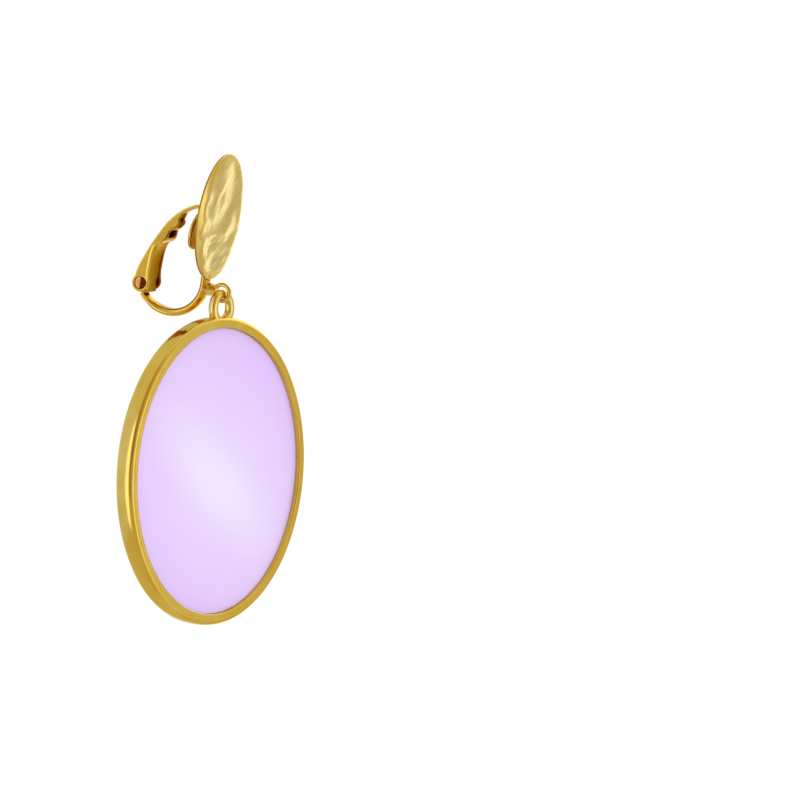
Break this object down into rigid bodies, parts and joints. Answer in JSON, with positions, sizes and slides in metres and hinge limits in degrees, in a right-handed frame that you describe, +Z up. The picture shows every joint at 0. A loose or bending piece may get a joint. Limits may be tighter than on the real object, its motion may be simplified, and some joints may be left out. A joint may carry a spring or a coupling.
{
  "type": "clip-on drop earring",
  "caption": "Clip-on earring: round hammered gold disc on a hinged ear clip, with a large round lilac drop in a gold frame hanging from an eyelet.",
  "frame": {"origin": "in the ear lobe gap, between the dished pad and the plate behind the face disc", "axes": "+Z up along the hanging drop, +Y back from the face disc to the hinge, +X across the clip"},
  "size_m": [0.0391, 0.0173, 0.0608],
  "materials": {
    "hammered_gold": "satin, hammered and brushed pale gold plating",
    "polished_gold": "polished yellow gold plating",
    "lilac_inlay": "glossy, faintly clouded lilac"
  },
  "bodies": {
    "clip": {"face_disc": "hammered_gold", "clip_frame": "polished_gold"},
    "lever_arm": {"lever": "polished_gold", "spring_leaf": "polished_gold"},
    "drop": {"bezel": "polished_gold", "inlay": "lilac_inlay"}
  },
  "joints": [
    {"name": "lever_hinge", "type": "hinge", "parent": "clip", "child": "lever_arm", "pos_m": [0, 0.00789, -0.00697], "axis": [-1, 0, 0], "range_deg": [0, 95]},
    {"name": "drop_swing", "type": "hinge", "parent": "clip", "child": "drop", "pos_m": [0, -0.00263, -0.00782], "axis": [-0.9755, 0.2198, 0], "range_deg": [-12, 75]}
  ]
}
